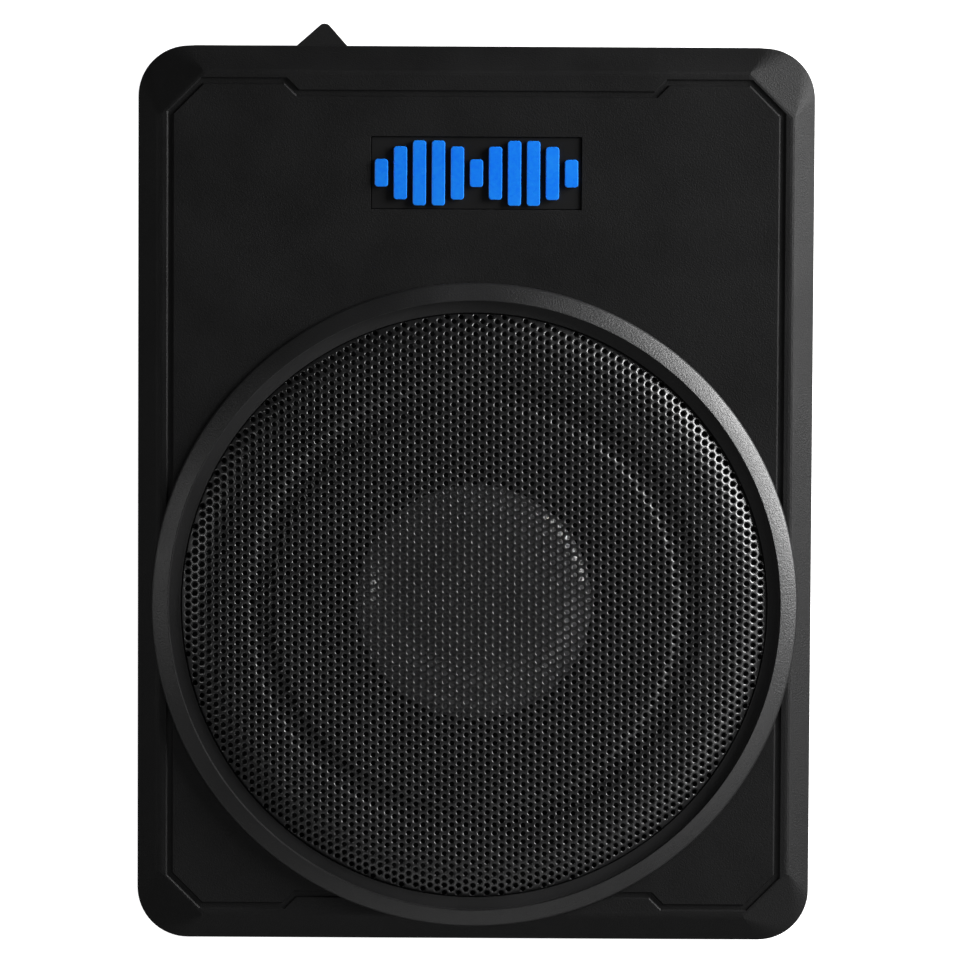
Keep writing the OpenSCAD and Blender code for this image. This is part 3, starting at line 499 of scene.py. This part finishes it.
columns = int(GRILLE_EDGE / COLUMN) + 2
rows = int(GRILLE_EDGE / PITCH) + 2
third = round(MIDDLE_STRIP * GRILLE_EDGE / COLUMN)
strips = {
    "grille_left": range(-columns, -third), "grille_middle": range(-third, third + 1),
    "grille_right": range(third + 1, columns + 1),
}
reach = GRILLE_EDGE + PITCH / math.sqrt(3) - CELL_OVERLAP
for name, span in strips.items():
    sheet = Sheet()
    for i in span:
        for j in range(-rows, rows + 1):
            if math.hypot(i * COLUMN, (j + (i % 2) / 2) * PITCH) < reach:
                sheet.cell(i, j)
    sheet.close()
    grille = piece(name, sheet.points, sheet.faces, "grille_steel", replaced=["grille"])
    with edited(grille) as work:
        work.faces.ensure_lookup_table()
        sharpen(work.faces[index] for index in sheet.walls)
        bmesh.ops.dissolve_degenerate(work, dist=1e-7, edges=work.edges)
        mark_corners(work, 80)
        open_edges = [edge for edge in work.edges if len(edge.link_faces) == 1]
        sharpen(bmesh.ops.holes_fill(work, edges=open_edges)["faces"])
    flat_map(grille)

# ---------- trim ring ----------

ring_profile = [
    (-11.5, -1.75), (-11.5, 1.3), (-11.42, 1.5), (-11.2, 1.6), (-7.1, 1.6), (-6.88, 1.68),
    (-6.8, 1.9), (-6.75, 4.35), (-6.7, 4.48), (-6.6, 4.5), (-6.4, 4.42), (-1.05, 1.5),
    (-0.6, 1.2), (-0.3, 0.88), (-0.08, 0.45), (0, 0), (0, -2.9),
    (-7.3, -2.9), (-7.3, -0.1), (-8.5, -0.1), (-8.5, -1.75),
]
ring_points, ring_faces = lathe(
    [(ring_r + r * MM, panel_z + h * MM) for r, h in ring_profile], axis, 288)
trim_ring = piece("trim_ring_turned", ring_points, ring_faces, "satin_trim",
                  replaced=["trim_ring"])
rounded(trim_ring)
# The flat zone inside the band is a darker, duller black
trim_ring.data.materials.append(finishes["ring_floor"])
band_in_r = ring_r - 6.9 * MM
for face in trim_ring.data.polygons:
    spot = face.center - axis
    if math.hypot(spot.x, spot.y) < band_in_r:
        face.material_index = 1

# ---------- cone, surround and spider ----------


def radial_blend(obj):
    """Bakes obj's placement into its mesh."""
    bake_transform(obj)


rim_r = ring_r - 28 * MM
cone_r = ring_r - 40 * MM
roll_t = 0.9 * MM
roll_mid, roll_r = (rim_r + cone_r) / 2, (rim_r - cone_r) / 2
ROLL_RISE = 0.8
ROLL_STEPS = 24
roll_turns = [math.pi * i / ROLL_STEPS for i in range(ROLL_STEPS + 1)]
arcs = [
    [(roll_mid + r * math.cos(a), edge_z + roll_t + r * ROLL_RISE * math.sin(a))
     for a in roll_turns]
    for r in (roll_r, roll_r - roll_t)
]
seat_r = ring_r - 23 * MM
glue_r = cone_r - 5 * MM
surround_profile = (
    [(seat_r, edge_z), (seat_r, edge_z + roll_t)] + arcs[0]
    + [(glue_r, edge_z + roll_t), (glue_r, edge_z), (cone_r + roll_t, edge_z)]
    + arcs[1][::-1] + [(rim_r - roll_t, edge_z)]
)
surround = piece("surround_roll", *lathe(surround_profile, axis, 192), "seal_rubber",
                 body=None, replaced=["surround"])
rounded(surround)
radial_blend(surround)

neck_r = 26 * MM
neck_z = edge_z - 13.8 * MM
flare_r = cone_r - 6 * MM
RIBS = 6
RIBS_IN, RIBS_OUT = 50 * MM, 72 * MM
RIB_H = 0.35 * MM


def cone_z(r):
    return neck_z + (edge_z - neck_z) * (r - neck_r) / (flare_r - neck_r)


def cone_rib(r):
    """Shallow pressed rings in the cone, none where the dust cap and surround are glued."""
    u = (r - RIBS_IN) / (RIBS_OUT - RIBS_IN)
    return 0 if not 0 < u < 1 else RIB_H * math.sin(RIBS * math.pi * u) ** 2


CONE_STEPS = 96
cone_face = [neck_r + (flare_r - neck_r) * i / CONE_STEPS for i in range(CONE_STEPS + 1)]
cone_t = 1.2 * MM
cone_end_r = cone_r - 0.3 * MM
cone_profile = (
    [(r, cone_z(r) - cone_rib(r)) for r in cone_face]
    + [(cone_end_r, edge_z), (cone_end_r, edge_z - cone_t)]
    + [(r, cone_z(r) - cone_rib(r) - cone_t) for r in cone_face[::-1]]
)
cone = piece("cone_pressed", *lathe(cone_profile, axis, 192), "cone_paper",
             body="cone_assembly", replaced=["cone"])
rounded(cone)

cap_r = (cap_high.x - cap_low.x) / 2
cap_h = 9 * MM
cap_t = 1 * MM
cap_foot = cone_z(cap_r)
SHOULDER = 4.5
CAP_STEPS = 40
CROWDING = 0.6
dome = [
    (cap_r * (i / CAP_STEPS) ** CROWDING,
     cap_foot + cap_h * (1 - (i / CAP_STEPS) ** (CROWDING * SHOULDER)))
    for i in range(CAP_STEPS + 1)
]
inside = [(r * (cap_r - cap_t) / cap_r, cap_foot + (h - cap_foot) * (cap_h - cap_t) / cap_h)
          for r, h in dome[::-1]]
dust_cap = piece("dust_cap_dome", *lathe(dome + inside, axis, 192), "cap_gloss",
                 body="cone_assembly", replaced=["dust_cap"])
rounded(dust_cap, 70)

coil_r = 25.6 * MM
spider_r = 57 * MM
spider_t = 0.7 * MM
SPIDER_WAVES = 5
WAVE_H = 1.3 * MM
WAVES_UP, RIM_UP = 3 * MM, 0.7 * MM
SPIDER_STEPS = 160
FLEXING = 0.82
spider_line = []
for i in range(SPIDER_STEPS + 1):
    u = i / SPIDER_STEPS
    swell = math.sin(2 * math.pi * SPIDER_WAVES * u / FLEXING)
    height = RIM_UP if u > FLEXING else WAVES_UP + WAVE_H * swell
    spider_line.append((coil_r + (spider_r - coil_r) * u, spider_z + height))
spider_profile = spider_line + [(r, h - spider_t) for r, h in spider_line[::-1]]
spider = piece("spider_cloth_disc", *lathe(spider_profile, axis, 160), "spider_cloth",
               body=None, replaced=["spider"])
radial_blend(spider)

leads_mesh = nodes["tinsel_leads"].data
leads = piece("tinsel_braids", [v.co.copy() for v in leads_mesh.vertices],
              [tuple(p.vertices) for p in leads_mesh.polygons], "tinsel", body=None,
              replaced=["tinsel_leads"])
# The CAD mesh comes with each facet apart
with edited(leads) as work:
    bmesh.ops.remove_doubles(work, verts=work.verts, dist=0.001 * MM)
rounded(leads)
radial_blend(leads)

# ---------- control panel details ----------


def boxes(parts):
    """Points and faces of several upright boxes, each (low corner, high corner, turn, pivot)."""
    points, faces = [], []
    for low, high, turn, pivot in parts:
        start = len(points)
        spin = Matrix.Rotation(turn, 3, "Y")
        for x in (low[0], high[0]):
            for y in (low[1], high[1]):
                for z in (low[2], high[2]):
                    points.append(spin @ (Vector((x, y, z)) - pivot) + pivot)
        for face in ((0, 1, 3, 2), (4, 6, 7, 5), (0, 4, 5, 1), (2, 3, 7, 6),
                     (0, 2, 6, 4), (1, 5, 7, 3)):
            faces.append([start + k for k in face])
    return points, faces


knob_nodes = {"gain_knob": "gain_control", "lowpass_knob": "lowpass_control",
              "boost_knob": "boost_control"}
POINTER_W, POINTER_T = 0.9 * MM, 0.7 * MM
SUNK = 0.05 * MM
TICKS = 11
SWEEP = math.radians(140)
TICK_W, TICK_T = 0.4 * MM, 0.08 * MM
TICK_GAP = 0.9 * MM
ticks = []
for node, body in knob_nodes.items():
    low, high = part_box(node)
    centre = (low + high) / 2
    knob_r = (high.x - low.x) / 2
    pointer = boxes([(
        (centre.x - POINTER_W / 2, high.y - SUNK - POINTER_T, centre.z + 1.2 * MM),
        (centre.x + POINTER_W / 2, high.y - SUNK, centre.z + knob_r - 0.3 * MM), 0, centre)])
    piece(node + "_pointer", *pointer, "slider_grey", body=body, material="white_print",
          smooth=False)
    for k in range(TICKS):
        length = (1.6 if k % 5 == 0 else 1.0) * MM
        foot = centre.z + knob_r + TICK_GAP
        ticks.append(((centre.x - TICK_W / 2, face_y - SUNK, foot),
                      (centre.x + TICK_W / 2, face_y + TICK_T, foot + length),
                      -SWEEP + 2 * SWEEP * k / (TICKS - 1), centre))
piece("dial_ticks", *boxes(ticks), "slider_grey", material="white_print", smooth=False)

insert_low, insert_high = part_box("phono_inserts")
shell_low_x, shell_high_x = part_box("phono_shells")[0].x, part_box("phono_shells")[1].x
jack_r = 6 * MM
jack_z = (insert_low.z + insert_high.z) / 2
back_y = insert_low.y
insert_profile = mm([(1.6, 8.5), (1.6, 21.4), (1.9, 21.5), (3.1, 21.5), (3.38, 21.3),
                     (3.38, 14.5), (5.0, 14.5), (5.0, 8.5)])
for name, x, material in (("phono_insert_red", shell_high_x - jack_r, "insert_plastic"),
                          ("phono_insert_white", shell_low_x + jack_r, "insert_white")):
    centre = Vector((x, back_y, jack_z))
    rounded(piece(name, *lathe(insert_profile, centre, 64, along_y=True), "insert_plastic",
                  material=material, replaced=["phono_inserts"]))

# ---------- stage, lights and camera ----------


def stage_plane(name, size, z):
    half = size / 2
    mesh = bpy.data.meshes.new(name)
    mesh.from_pydata([(-half, -half, z), (half, -half, z), (half, half, z), (-half, half, z)],
                     [], [(0, 1, 2, 3)])
    floor = bpy.data.objects.new(name, mesh)
    scene.collection.objects.link(floor)
    floor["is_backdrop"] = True
    return floor


FLOOR_W, FLOOR_Z = 60, -0.2 * MM
floor = stage_plane("floor", FLOOR_W, FLOOR_Z)
floor.visible_diffuse = False
floor.visible_glossy = False
floor_paint = bpy.data.materials.new("floor_paint")
floor_paint.use_nodes = True
paint = floor_paint.node_tree.nodes["Principled BSDF"]
paint.inputs["Base Color"].default_value = (0.8, 0.8, 0.8, 1)
paint.inputs["Roughness"].default_value = 0.9
paint.inputs["Specular IOR Level"].default_value = 0.1
paint.inputs["Emission Color"].default_value = (1, 1, 1, 1)
paint.inputs["Emission Strength"].default_value = 0.95
floor.data.materials.append(floor_paint)

world = bpy.data.worlds.new("studio")
scene.world = world
world.use_nodes = True
sky = world.node_tree
sky_place = add(sky, "ShaderNodeTexCoord")
sky_split = add(sky, "ShaderNodeSeparateXYZ")
sky_height = add(sky, "ShaderNodeMapRange", {"From Min": -1.0})
sky_tones = add(sky, "ShaderNodeValToRGB")
sky.links.new(sky_place.outputs["Generated"], sky_split.inputs["Vector"])
sky.links.new(sky_split.outputs["Z"], sky_height.inputs["Value"])
sky.links.new(sky_height.outputs["Result"], sky_tones.inputs["Fac"])
sky_tones.color_ramp.elements.remove(sky_tones.color_ramp.elements[1])
SKY = {0: 0.02, 0.46: 0.03, 0.499: 0.85, 0.52: 0.8, 0.56: 0.22, 0.66: 0.07, 1: 0.03}
for place, tone in SKY.items():
    stop = sky_tones.color_ramp.elements.new(place)
    stop.color = (tone, tone, tone, 1)
sky.links.new(sky_tones.outputs["Color"], sky.nodes["Background"].inputs["Color"])
# The near side is brighter than the far side
sky_side = add(sky, "ShaderNodeMapRange", {"From Min": -1.0, "To Min": 1.3, "To Max": 0.15})
sky.links.new(sky_split.outputs["Y"], sky_side.inputs["Value"])
sky.links.new(sky_side.outputs["Result"], sky.nodes["Background"].inputs["Strength"])


def softbox(name, azimuth, elevation, distance, width, height, power):
    """A rectangular lamp that faces the object. Azimuth 0 is +X, and 90 is +Y."""
    lamp = bpy.data.lights.new(name, "AREA")
    lamp.shape = "RECTANGLE"
    lamp.size, lamp.size_y = width, height
    lamp.energy = power
    obj = bpy.data.objects.new(name, lamp)
    a, e = math.radians(azimuth), math.radians(elevation)
    way = Vector((math.cos(a) * math.cos(e), math.sin(a) * math.cos(e), math.sin(e)))
    obj.location = way * distance
    obj.rotation_mode = "QUATERNION"
    obj.rotation_quaternion = way.to_track_quat("Z", "Y")
    scene.collection.objects.link(obj)


# Each lamp's azimuth, elevation, distance, width, height and power
LAMPS = {
    "key_low": (24, 19, 1.1, 0.75, 0.35, 27.5),
    "key_high": (-28, 38, 1.3, 0.9, 0.4, 2.4),
    "fill_left": (177, 34, 1.7, 0.5, 0.12, 2.9),
    "fill_near": (-92, 27, 1.0, 0.7, 0.15, 0.55),
    "high_left": (160, 46, 1.8, 1.4, 0.14, 0.3),
    "high_near": (-95, 60, 1.0, 0.8, 0.3, 0.35),
}
for name, values in LAMPS.items():
    softbox(name, *values)

VIEW_W = 0.3705
SENSOR_W = 36
DISTANCE = 2.4
TILT = math.radians(4.16)
ROLL = math.radians(0.30)
camera_data = bpy.data.cameras.new("camera")
camera = bpy.data.objects.new("camera", camera_data)
camera_data.sensor_width = SENSOR_W
camera_data.lens = SENSOR_W * DISTANCE / VIEW_W
target = Vector((0.0020, 0.0014, panel_z - 0.007))
back = Vector((0, math.sin(TILT), math.cos(TILT)))
camera.location = target + back * DISTANCE
camera.rotation_mode = "QUATERNION"
facing = Matrix((
    (1, 0, 0),
    (0, math.cos(TILT), math.sin(TILT)),
    (0, -math.sin(TILT), math.cos(TILT)),
)).to_quaternion()
roll = Matrix.Rotation(ROLL, 3, "Z").to_quaternion()
camera.rotation_quaternion = facing @ roll
camera_data.clip_start, camera_data.clip_end = 0.05, 100
scene.collection.objects.link(camera)
scene.camera = camera

low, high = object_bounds()
